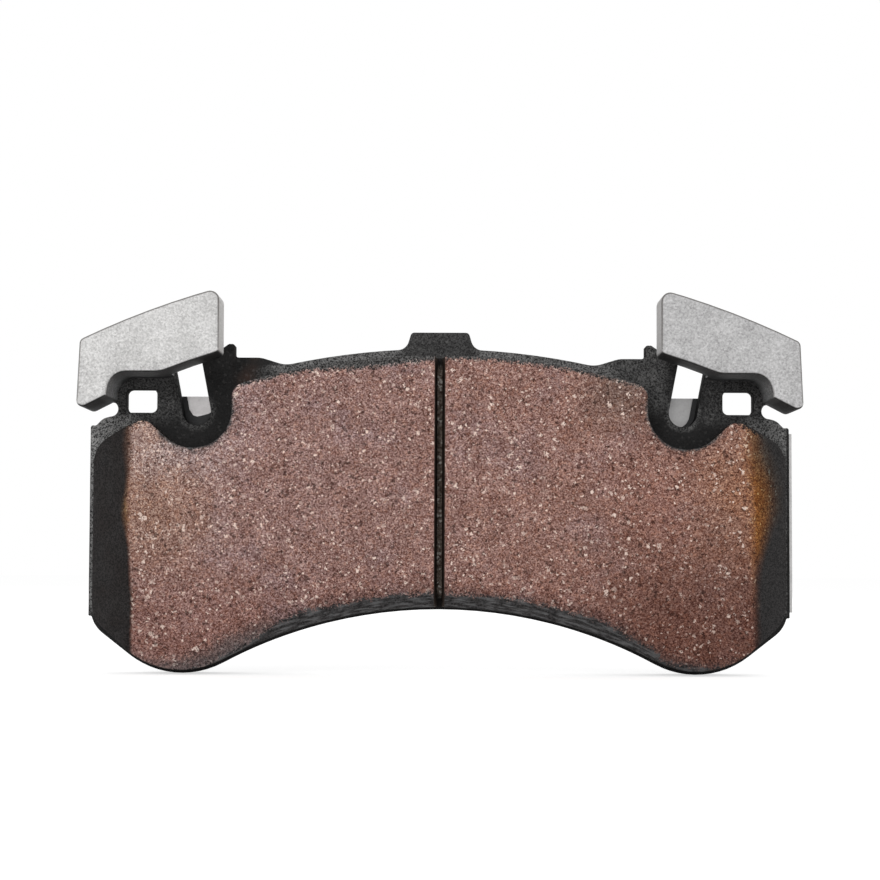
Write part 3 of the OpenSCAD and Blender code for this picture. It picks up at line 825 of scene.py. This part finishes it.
@dataclass(frozen=True)
class PlateFinish(Finish):
    """Charcoal powder coat, greyed where grinding dust clings to the outer strip and shoulders, lifted by
    painted light on the neck and blackened by painted shade on the pin slots' walls.
    """

    name: str = "plate_powder_coat"
    black: Colour = srgb(4, 4, 4)
    coat: Colour = srgb(48, 47, 47)
    dust_low: Colour = srgb(26, 26, 26)
    dust_high: Colour = srgb(166, 165, 164)
    spark: Colour = srgb(168, 166, 164)
    smear: Colour = srgb(70, 52, 44)

    # Where the coat faces the disc, where dust clings or compound is smeared on it, where painted light
    # lifts the neck and where painted shade blackens the slot walls
    front: Mask = Fade("To Disc", 0.5, 0.9)
    leftwards: Mask = Fade("Along", 40.0, -40.0)
    strip: Mask = Zone((Fade("Radius", 191.0, 194.5), Fade("Radius", 198.6, 197.4),
                        Fade("Along", -54.0, -40.0), Fade("Along", 56.0, 44.0)))
    beside_tab: Mask = Fade("Aside", 8.0, 13.0)
    tab: Mask = Zone((Fade("Radius", 194.0, 196.0), Fade("Aside", 13.0, 10.0)))
    shoulder: Mask = Zone((Fade("Aside", 80.0, 86.0), Fade("Height", 20.5, 17.0),
                           Fade("Height", -38.0, -33.0), Fade("Along", 95.5, 95.1),
                           Fade("Along", -96.0, -95.6)))
    shoulder_top: Mask = Fade("Height", 2.0, 12.0)
    # Painted light: the neck under the weights gets pale dust colour to lift its shade
    neck: Mask = Zone((Fade("Aside", 69.0, 75.0), Fade("Height", 14.0, 19.0)))
    right_arm: Mask = Zone((Fade("Along", 34.0, 46.0), Fade("Along", 66.0, 60.0),
                            Fade("Height", 17.0, 22.0)))
    slot_lip: Mask = Bell("From Slot", SIZES.slot_r + 0.6, 1.4)
    # Painted shade: the walls inside the pin slots are darkened almost to black
    slot: Mask = Fade("From Slot", 10.0, 7.0)
    smeared: Mask = Zone((Bell("Along", -53.0, 5.0), Fade("Radius", 192.5, 195.5)))

    def dress(self, graph: Graph, shader: bpy.types.Node, effects: Effects, place: Outputs) -> None:
        """Lays out the nodes that feed the shader."""
        point = place["Point"]
        grain = graph.use(effects.grain, Point=point, Fine=2.2, Broad=0.22, Contrast=3.0).outputs
        broad = grain["Broad Tone"]
        tone = graph.blend(0.5, effects.grains(graph, point, 3.2, 1.0), grain["Fine Tone"])
        front = self.front.over(graph, graph.use(effects.turn).outputs)
        # The dust mask also carries the painted light on the neck
        dust = graph.both(self._dust_and_neck_light(graph, place), front, graph.scaled(broad, 0.5, 0.7, clamp=True))
        clean = graph.mix(graph.blend(0.4, broad, tone), self.black, self.coat)
        dusty = graph.mix(graph.step(tone, 0.15, 0.85), self.dust_low, self.dust_high)
        colour = graph.mix(dust, clean, dusty)
        colour = graph.mix(graph.both(self.smeared.over(graph, place), broad, 0.6), colour, self.smear)
        bright = effects.grains(graph, point, 1.7, 1.0)
        sparks = graph.both(graph.step(bright, 0.93, 0.95), graph.scaled(dust, 0.45, 0.05))
        colour = graph.mix(sparks, colour, self.spark)
        # Painted shade: the pin slots' walls are darkened
        slot_wall_shade = graph.both(self.slot.over(graph, place), graph.rest(front), 0.85)
        graph.feed(shader.inputs["Base Color"], graph.mix(slot_wall_shade, colour, self.black))
        rough = graph.scaled(front, -0.35, 0.9)
        graph.feed(shader.inputs["Roughness"], graph.scaled(broad, 0.15, rough))
        shader.inputs["Specular IOR Level"].default_value = 0.12
        self.relief(graph, shader, tone, 0.15 * MM, 0.4)

    def _dust_and_neck_light(self, graph: Graph, place: Outputs) -> Socket:
        """Shows where pale dust clings: the outer strip, the tab, the shoulders, slots and right arm, with
        painted light lifting the shaded neck.
        """
        leftwards = self.leftwards.over(graph, place)
        shoulder_share = graph.both(graph.scaled(leftwards, 0.45, 0.55),
                                    graph.scaled(self.shoulder_top.over(graph, place), 0.3, 0.7))
        shares = ((self.strip, graph.scaled(self.beside_tab.over(graph, place), 0.4, 0.16)),
                  (self.tab, 0.16),
                  (self.shoulder, shoulder_share),
                  # Painted light on the neck, more on the left
                  (self.neck, graph.scaled(leftwards, 0.06, 0.2)),
                  (self.right_arm, 0.27),
                  (self.slot_lip, graph.scaled(leftwards, -0.1, 0.3)))
        return graph.either(*(graph.both(mask.over(graph, place), share) for mask, share in shares))


@dataclass(frozen=True)
class WeightFinish(Finish):
    """Pale blasted steel on the face, with darker sides; painted shade darkens the arch, the underside, the
    upper edge rounding and the right weight's face.
    """

    name: str = "weight_steel"
    face: Colour = srgb(232, 231, 230)
    mottle: Colour = srgb(144, 143, 142)
    # Painted shade: multiplies the right weight's face darker, as if it were lit less than the left
    right_face_shade: Colour = (0.82, 0.82, 0.83, 1.0)
    side: Colour = srgb(212, 210, 208)
    side_dull: Colour = srgb(170, 168, 166)
    # Painted shade: a dark line for the upward-turned edge rounding of the face
    rim: Colour = srgb(92, 88, 85)
    # Painted shade on the weight's underside: the next two colours
    soot_and_painted_shade: Colour = srgb(18, 18, 18)
    underside_shade_pale: Colour = srgb(52, 51, 51)
    # Painted shade in the arch over the neck: the next three colours
    vault_low: Colour = srgb(34, 34, 34)
    vault: Colour = srgb(84, 84, 84)
    vault_side: Colour = srgb(154, 154, 154)
    blanked: tuple[float, float, float] = (1.0, 0.1, 1.0)

    # Where the steel lies and which way it is turned, and where painted shade falls on it
    shaded_right_half: Mask = Fade("Along", -40.0, 40.0)
    sideways: Mask = Fade("To Disc", 0.75, 0.35)
    upper_edge: Mask = Zone((Fade("To Disc", 0.97, 0.8), Fade("To Disc", 0.12, 0.35),
                             Fade("To Axis", 0.2, -0.1)))
    below: Mask = Fade("To Axis", 0.25, 0.6)
    over_neck: Mask = Zone((Fade("Aside", 63.0, 66.0), Fade("Aside", 91.0, 90.0)))
    arched: Mask = Zone((Fade("To Disc", -0.6, -0.3), Fade("To Axis", -0.7, -0.2)))
    arch_side: Mask = Fade("To Axis", 0.9, 0.35)

    def dress(self, graph: Graph, shader: bpy.types.Node, effects: Effects, place: Outputs) -> None:
        """Lays out the nodes that feed the shader."""
        point = place["Point"]
        grain = graph.use(effects.grain, Point=point, Fine=1.7, Broad=0.14, Contrast=2.6).outputs
        fine = graph.blend(0.5, effects.grains(graph, point, 2.5, 1.0), grain["Fine Tone"])
        tone = graph.blend(0.22, grain["Broad Tone"], fine)
        colour = graph.mix(tone, self.mottle, self.face)
        turn = graph.use(effects.turn).outputs
        sideways = self.sideways.over(graph, turn)
        marks = graph.use(effects.grain, Point=graph.stretched(point, self.blanked), Fine=2.0, Broad=0.3,
                          Contrast=2.4).outputs
        drawn = graph.blend(0.5, marks["Fine Tone"], fine)
        colour = graph.mix(sideways, colour, graph.mix(drawn, self.side_dull, self.side))
        # Painted shade: the right weight's face is darkened
        colour = graph.mix(self.shaded_right_half.over(graph, place), colour, self.right_face_shade, "MULTIPLY")
        # Painted shade on the upper edge rounding
        colour = graph.mix(graph.both(self.upper_edge.over(graph, turn), 0.8), colour, self.rim)
        # Painted shade: faces turned downward are darkened
        below = self.below.over(graph, turn)
        colour = graph.mix(below, colour, graph.mix(fine, self.soot_and_painted_shade, self.underside_shade_pale))
        # Painted shade: the arch's inner walls are darkened
        arch = graph.both(sideways, self.over_neck.over(graph, place), self.arched.over(graph, turn))
        vault = graph.mix(self.arch_side.over(graph, turn), self.vault, self.vault_side)
        colour = graph.mix(arch, colour, graph.mix(fine, self.vault_low, vault))
        graph.feed(shader.inputs["Base Color"], colour)
        graph.feed(shader.inputs["Metallic"], graph.scaled(graph.either(arch, below), -0.35, 0.35))
        graph.feed(shader.inputs["Roughness"], graph.scaled(tone, 0.2, 0.5))
        shader.inputs["Specular IOR Level"].default_value = 0.2
        self.relief(graph, shader, fine, 0.12 * MM, 0.3)


@dataclass(frozen=True)
class UnderlayerFinish(Finish):
    """Moulded resin with short pale fibres, dark where its rim is charred."""

    name: str = "underlayer_resin"
    dark: Colour = srgb(84, 70, 60)
    resin: Colour = srgb(176, 162, 150)
    fibre: Colour = srgb(244, 238, 230)
    rim: Colour = srgb(34, 32, 31)
    walls: Mask = Fade("To Disc", 0.6, 0.3)
    outer_rim: Mask = Fade("Radius", 190.0, 193.0)
    inner_rim: Mask = Fade("Radius", 131.0, 128.0)

    def dress(self, graph: Graph, shader: bpy.types.Node, effects: Effects, place: Outputs) -> None:
        """Lays out the nodes that feed the shader."""
        point = place["Point"]
        grain = graph.use(effects.grain, Point=point, Fine=1.2, Broad=0.3, Contrast=3.0).outputs
        colour = graph.mix(grain["Fine Tone"], self.dark, self.resin)
        fibres = graph.step(effects.grains(graph, point, 1.6, 1.0), 0.82, 0.86)
        colour = graph.mix(graph.both(fibres, 0.9), colour, self.fibre)
        border = graph.either(self.walls.over(graph, graph.use(effects.turn).outputs),
                              self.outer_rim.over(graph, place), self.inner_rim.over(graph, place))
        graph.feed(shader.inputs["Base Color"], graph.mix(border, colour, self.rim))
        graph.feed(shader.inputs["Roughness"], graph.scaled(grain["Broad Tone"], 0.2, 0.7))
        shader.inputs["Specular IOR Level"].default_value = 0.15
        self.relief(graph, shader, grain["Fine Tone"], 0.2 * MM, 0.4)


@dataclass(frozen=True)
class SheetSteelFinish(Finish):
    """Bare rolled steel with faint lines along the pad, cleaner where it faces the plate, with painted shade
    darkening that clean face on the right half.
    """

    name: str = "sheet_steel"
    light: Colour = srgb(206, 204, 203)
    dull: Colour = srgb(172, 171, 170)
    clean: Colour = srgb(172, 169, 169)
    # Painted shade: the clean face on the right half is a darker grey
    clean_right_shaded: Colour = srgb(162, 161, 161)
    stain: Colour = srgb(96, 94, 93)
    rolled: tuple[float, float, float] = (0.12, 1.0, 1.0)
    to_plate: Mask = Fade("To Disc", 0.5, 0.8)
    off_tab: Mask = Fade("Aside", 92.0, 90.0)
    shaded_right_half: Mask = Fade("Along", -20.0, 20.0)

    def dress(self, graph: Graph, shader: bpy.types.Node, effects: Effects, place: Outputs) -> None:
        """Lays out the nodes that feed the shader."""
        lines = graph.stretched(place["Point"], self.rolled)
        grain = graph.use(effects.grain, Point=lines, Fine=1.6, Broad=0.25, Contrast=1.8).outputs
        tone = graph.blend(0.5, grain["Broad Tone"], grain["Fine Tone"])
        colour = graph.mix(tone, self.dull, self.light)
        covered = graph.both(self.to_plate.over(graph, graph.use(effects.turn).outputs),
                             self.off_tab.over(graph, place))
        dirt = effects.grains(graph, place["Point"], 1.9, 0.6)
        # Painted shade darkens the clean face on the right half
        clean_and_shaded = graph.mix(self.shaded_right_half.over(graph, place), self.clean, self.clean_right_shaded)
        clean_and_shaded = graph.mix(graph.both(dirt, 0.14), clean_and_shaded, self.stain)
        colour = graph.mix(graph.both(covered, 0.9), colour, clean_and_shaded)
        specks = graph.step(dirt, 0.008, 0.004)
        colour = graph.mix(graph.both(specks, 0.45), colour, self.stain)
        graph.feed(shader.inputs["Base Color"], colour)
        graph.feed(shader.inputs["Metallic"], graph.scaled(covered, 0.4, 0.3))
        shine = graph.scaled(covered, -0.12, 0.36)
        graph.feed(shader.inputs["Roughness"], graph.scaled(tone, 0.2, shine))
        self.relief(graph, shader, grain["Fine Tone"], 0.05 * MM, 0.2)


@dataclass(frozen=True)
class RubberFinish(Finish):
    """Matt black sheet rubber or film with a faint pebble."""

    name: str = "shim_rubber"
    dark: Colour = srgb(24, 24, 25)
    worn: Colour = srgb(46, 46, 47)
    rubbed: Colour = srgb(66, 66, 67)
    dust: Colour = srgb(92, 91, 90)
    rub: tuple[float, float, float] = (0.05, 1.0, 0.8)

    def dress(self, graph: Graph, shader: bpy.types.Node, effects: Effects, place: Outputs) -> None:
        """Lays out the nodes that feed the shader."""
        point = place["Point"]
        grain = graph.use(effects.grain, Point=point, Fine=1.5, Broad=0.05, Contrast=1.7).outputs
        tone = graph.blend(0.6, grain["Broad Tone"], grain["Fine Tone"])
        colour = graph.mix(tone, self.dark, self.worn)
        drawn = graph.noise(graph.stretched(point, self.rub), scale=1.0, detail=4.0, rough=0.7)
        colour = graph.mix(graph.both(graph.step(drawn, 0.56, 0.76), 0.5), colour, self.rubbed)
        specks = graph.step(effects.grains(graph, point, 1.8, 1.0), 0.985, 0.992)
        colour = graph.mix(graph.both(specks, 0.22), colour, self.dust)
        graph.feed(shader.inputs["Base Color"], colour)
        graph.feed(shader.inputs["Roughness"], graph.scaled(grain["Broad Tone"], 0.3, 0.5))
        self.relief(graph, shader, grain["Fine Tone"], 0.1 * MM, 0.35)


@dataclass(frozen=True)
class EdgeBreak:
    """How a solid's sharp edges are rounded off, apart from those behind a plane across the pad."""

    width: float
    segments: int
    back_y: float = math.inf
    least_angle: float = math.radians(32)

    def takes(self, edge: bmesh.types.BMEdge) -> bool:
        """Is true for a sharp edge in front of the plane."""
        middle = (edge.verts[0].co + edge.verts[1].co) / 2
        return middle.y < self.back_y and edge.calc_face_angle(0.0) > self.least_angle


@dataclass
class Piece:
    """One solid of the pad, shown as it is or with its sharp edges broken."""

    node: str
    slot: str
    edge: Optional[EdgeBreak] = None

    def build(self, material: bpy.types.Material) -> bpy.types.Object:
        """Shows the solid in its finish, or a copy of it with broken edges.

        Args:
            material: The piece's finish.

        Returns:
            The object that shows.
        """
        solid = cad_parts[self.node]
        if self.edge is None:
            for slot in solid.material_slots:
                slot.material = material
            return solid
        name = f"{self.node}_dressed"
        mesh = bpy.data.meshes.new(name)
        shape = self._broken(solid.data, self.edge)
        shape.to_mesh(mesh)
        shape.free()
        mesh.materials.append(material)
        shown = bpy.data.objects.new(name, mesh)
        bpy.context.scene.collection.objects.link(shown)
        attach(shown, BODY)
        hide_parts(self.node)
        return shown

    @staticmethod
    def _broken(source: bpy.types.Mesh, breaks: EdgeBreak) -> bmesh.types.BMesh:
        """Copies a solid's mesh and bevels its sharp edges.

        Args:
            source: The solid's mesh.
            breaks: How its edges are rounded off.

        Returns:
            The bevelled mesh, with smooth faces between sharp edges.
        """
        shape = bmesh.new()
        shape.from_mesh(source)
        bmesh.ops.remove_doubles(shape, verts=shape.verts, dist=0.002 * MM)
        bmesh.ops.dissolve_limit(shape, angle_limit=math.radians(0.4), verts=shape.verts, edges=shape.edges)
        sharp = [edge for edge in shape.edges if breaks.takes(edge)]
        bmesh.ops.bevel(shape, geom=sharp, offset=breaks.width, offset_type="OFFSET", affect="EDGES",
                        segments=breaks.segments, profile=0.5, material=-1, clamp_overlap=False)
        bmesh.ops.triangulate(shape, faces=[face for face in shape.faces if len(face.verts) > 4])
        for face in shape.faces:
            face.smooth = True
        for edge in shape.edges:
            edge.smooth = edge.calc_face_angle(0.0) < breaks.least_angle
        return shape


class SubAssembly:
    """Pieces that are made and dressed together."""

    title = "Part of the pad"

    def dressed(self) -> list[tuple[Finish, list[Piece]]]:
        """Lists each finish with the pieces that wear it."""
        raise NotImplementedError

    def build(self, effects: Effects) -> None:
        """Makes each finish and shows its pieces in it.

        Args:
            effects: The shared shader groups.
        """
        for finish, pieces in self.dressed():
            material = finish.make(effects)
            for piece in pieces:
                shown = piece.build(material)
                LOG.info("%s: %s, %d faces", self.title, shown.name, len(shown.data.polygons))


@dataclass
class Lining(SubAssembly):
    """The two friction blocks on the underlayer that bonds them."""

    title: str = "Friction lining"
    edge: EdgeBreak = EdgeBreak(0.2 * MM, 1)

    def dressed(self) -> list[tuple[Finish, list[Piece]]]:
        """Lists each finish with the pieces that wear it."""
        blocks = [Piece(f"friction_block_{side.value}", "friction", self.edge) for side in Side]
        return [(FrictionFinish(), blocks), (UnderlayerFinish(), [Piece("underlayer", "underlayer")])]


@dataclass
class BackingPlate(SubAssembly):
    """The coated steel plate that carries everything."""

    title: str = "Backing plate"
    edge: EdgeBreak = EdgeBreak(0.25 * MM, 2)

    def dressed(self) -> list[tuple[Finish, list[Piece]]]:
        """Lists each finish with the pieces that wear it."""
        return [(PlateFinish(), [Piece("backing_plate", "plate_coat", self.edge)])]


@dataclass
class DamperWeights(SubAssembly):
    """The two damper weights with the rivets that hold them on the ears."""

    title: str = "Damper weights"
    face_edge: EdgeBreak = EdgeBreak(0.7 * MM, 3, back_y=-26 * MM)
    rivet_edge: EdgeBreak = EdgeBreak(0.4 * MM, 3)

    def dressed(self) -> list[tuple[Finish, list[Piece]]]:
        """Lists each finish with the pieces that wear it."""
        weights = [Piece(f"damper_weight_{side.value}", "weight_steel", self.face_edge) for side in Side]
        rivets = [Piece(f"weight_rivet_{side.value}_{row.value}", "rivet_steel", self.rivet_edge)
                  for side in Side for row in Row]
        return [(WeightFinish(), weights), (SheetSteelFinish("rivet_steel", rolled=(1.0, 1.0, 1.0)), rivets)]


class Shim(SubAssembly):
    """The noise shim on the piston side: film, steel sheet and rubber coat."""

    title = "Shim"

    def dressed(self) -> list[tuple[Finish, list[Piece]]]:
        """Lists each finish with the pieces that wear it."""
        return [(RubberFinish("adhesive_film"), [Piece("shim_adhesive_film", "adhesive_film")]),
                (SheetSteelFinish("shim_steel"), [Piece("shim_steel_sheet", "shim_steel")]),
                (RubberFinish("shim_rubber"), [Piece("shim_rubber_coat", "shim_rubber")])]


@dataclass(frozen=True)
class Lamp:
    """A soft square lamp aimed at the pad."""

    name: str
    place: tuple[float, float, float]
    size: float
    watts: float

    def build(self) -> None:
        """Adds the lamp."""
        light = bpy.data.lights.new(self.name, "AREA")
        light.size = self.size
        light.energy = self.watts
        lamp = bpy.data.objects.new(self.name, light)
        lamp.location = self.place
        lamp.rotation_euler = (-Vector(self.place)).to_track_quat("-Z", "Y").to_euler()
        bpy.context.scene.collection.objects.link(lamp)


@dataclass
class Studio:
    """White surroundings, soft lamps, a pale floor and the camera."""

    sky: float = 0.55
    floor_reach: float = 4.0
    floor_white: Colour = srgb(214, 214, 214)
    floor_glow: float = 0.62
    camera_place: tuple[float, float, float] = (0.00007, -0.6072, -0.0219)
    camera_pitch: float = 3.2
    camera_roll: float = 0.23
    lens: float = 89.43
    sensor: float = 36.0
    nearest: float = 0.01
    lamps: tuple[Lamp, ...] = (
        Lamp("key_lamp", (-0.45, -1.1, 0.45), 0.6, 5.4),
        Lamp("fill_lamp", (0.9, -0.9, 0.4), 0.8, 3.0),
        Lamp("back_lamp", (0.2, 1.2, 0.9), 0.9, 5.0),
    )

    def build(self, lowest: float) -> None:
        """Builds the surroundings.

        Args:
            lowest: Height of the pad's lowest point in metres.
        """
        self._sky()
        self._floor(lowest)
        for lamp in self.lamps:
            lamp.build()
        self._camera()

    @staticmethod
    def _seen(graph: Graph) -> Socket:
        """Is 1 for rays from the camera and for reflected or refracted ones."""
        path = graph.add("ShaderNodeLightPath")
        rays = ("Is Camera Ray", "Is Glossy Ray", "Is Transmission Ray")
        return graph.either(*(path.outputs[ray] for ray in rays))

    def _sky(self) -> None:
        """Makes the surroundings white where they are seen and plain where they light the pad."""
        world = bpy.data.worlds.new("studio_white")
        world.use_nodes = True
        bpy.context.scene.world = world
        graph = Graph(world.node_tree)
        background = world.node_tree.nodes["Background"]
        background.inputs["Color"].default_value = WHITE
        strength = graph.scaled(self._seen(graph), 1.0 - self.sky, self.sky)
        graph.feed(background.inputs["Strength"], strength)

    def _floor(self, lowest: float) -> None:
        """Lays a pale floor under the pad.

        Args:
            lowest: The floor's height in metres.
        """
        shape = bmesh.new()
        bmesh.ops.create_grid(shape, x_segments=1, y_segments=1, size=self.floor_reach)
        bmesh.ops.translate(shape, verts=shape.verts, vec=(0.0, 0.0, lowest))
        mesh = bpy.data.meshes.new("floor")
        shape.to_mesh(mesh)
        shape.free()
        mesh.materials.append(self._floor_material())
        floor = bpy.data.objects.new("floor", mesh)
        bpy.context.scene.collection.objects.link(floor)
        floor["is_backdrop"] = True

    def _floor_material(self) -> bpy.types.Material:
        """Makes the floor white where it is lit, with the pad's shadow on it."""
        material = bpy.data.materials.new("floor_white")
        material.use_nodes = True
        graph = Graph(material.node_tree)
        shader = material.node_tree.nodes["Principled BSDF"]
        shader.inputs["Base Color"].default_value = self.floor_white
        shader.inputs["Roughness"].default_value = 1.0
        shader.inputs["Specular IOR Level"].default_value = 0.0
        shader.inputs["Emission Color"].default_value = WHITE
        graph.feed(shader.inputs["Emission Strength"], graph.both(self._seen(graph), self.floor_glow))
        return material

    def _camera(self) -> None:
        """Sets the camera up where the photograph was taken from."""
        data = bpy.data.cameras.new("camera")
        data.lens = self.lens
        data.sensor_width = self.sensor
        data.clip_start = self.nearest
        camera = bpy.data.objects.new("camera", data)
        camera.location = self.camera_place
        turn = Euler((math.radians(90 + self.camera_pitch), 0.0, 0.0)).to_matrix()
        roll = Euler((0.0, 0.0, math.radians(self.camera_roll))).to_matrix()
        camera.rotation_euler = (turn @ roll).to_euler()
        bpy.context.scene.collection.objects.link(camera)
        bpy.context.scene.camera = camera


def main() -> None:
    """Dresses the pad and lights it."""
    logging.basicConfig(level=logging.INFO)
    solid_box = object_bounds()
    bpy.context.scene.view_settings.view_transform = "Standard"
    effects = Effects()
    for part in (Lining(), BackingPlate(), DamperWeights(), Shim()):
        part.build(effects)
    Studio().build(solid_box[0][2])


if __name__ == "__main__":
    main()
